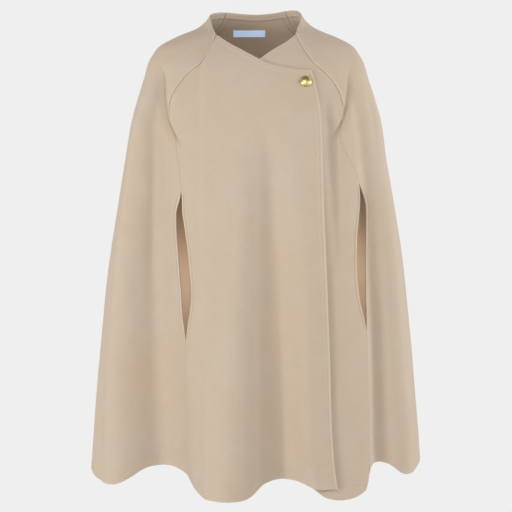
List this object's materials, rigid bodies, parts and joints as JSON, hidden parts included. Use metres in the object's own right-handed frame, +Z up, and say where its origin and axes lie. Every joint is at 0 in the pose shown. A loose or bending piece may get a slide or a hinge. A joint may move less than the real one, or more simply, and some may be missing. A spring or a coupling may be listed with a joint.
{
  "type": "cape",
  "caption": "Flared wool cape with raglan shoulder panels, a lapped front closed by a gilt button, a V neckline and a vertical arm slit in each front seam.",
  "frame": {"origin": "between the shoulders, level with the base of the neck, where the wearer's shoulders hold the cape up", "axes": "+Z up, the front faces -Y, +X is the wearer's left side"},
  "size_m": [0.6391, 0.4797, 0.8946],
  "materials": {
    "camel_wool": "double-faced wool, brushed to a fine matt nap",
    "label_satin": "woven satin, bare",
    "gilt_brass": "polished gilt"
  },
  "bodies": {
    "root": {"right_front": "camel_wool", "left_front": "camel_wool", "right_side": "camel_wool", "left_side": "camel_wool", "back": "camel_wool", "back_neck_turn_in": "camel_wool", "right_neck_turn_in": "camel_wool", "left_neck_turn_in": "camel_wool", "label": "label_satin", "button": "gilt_brass"}
  },
  "joints": []
}
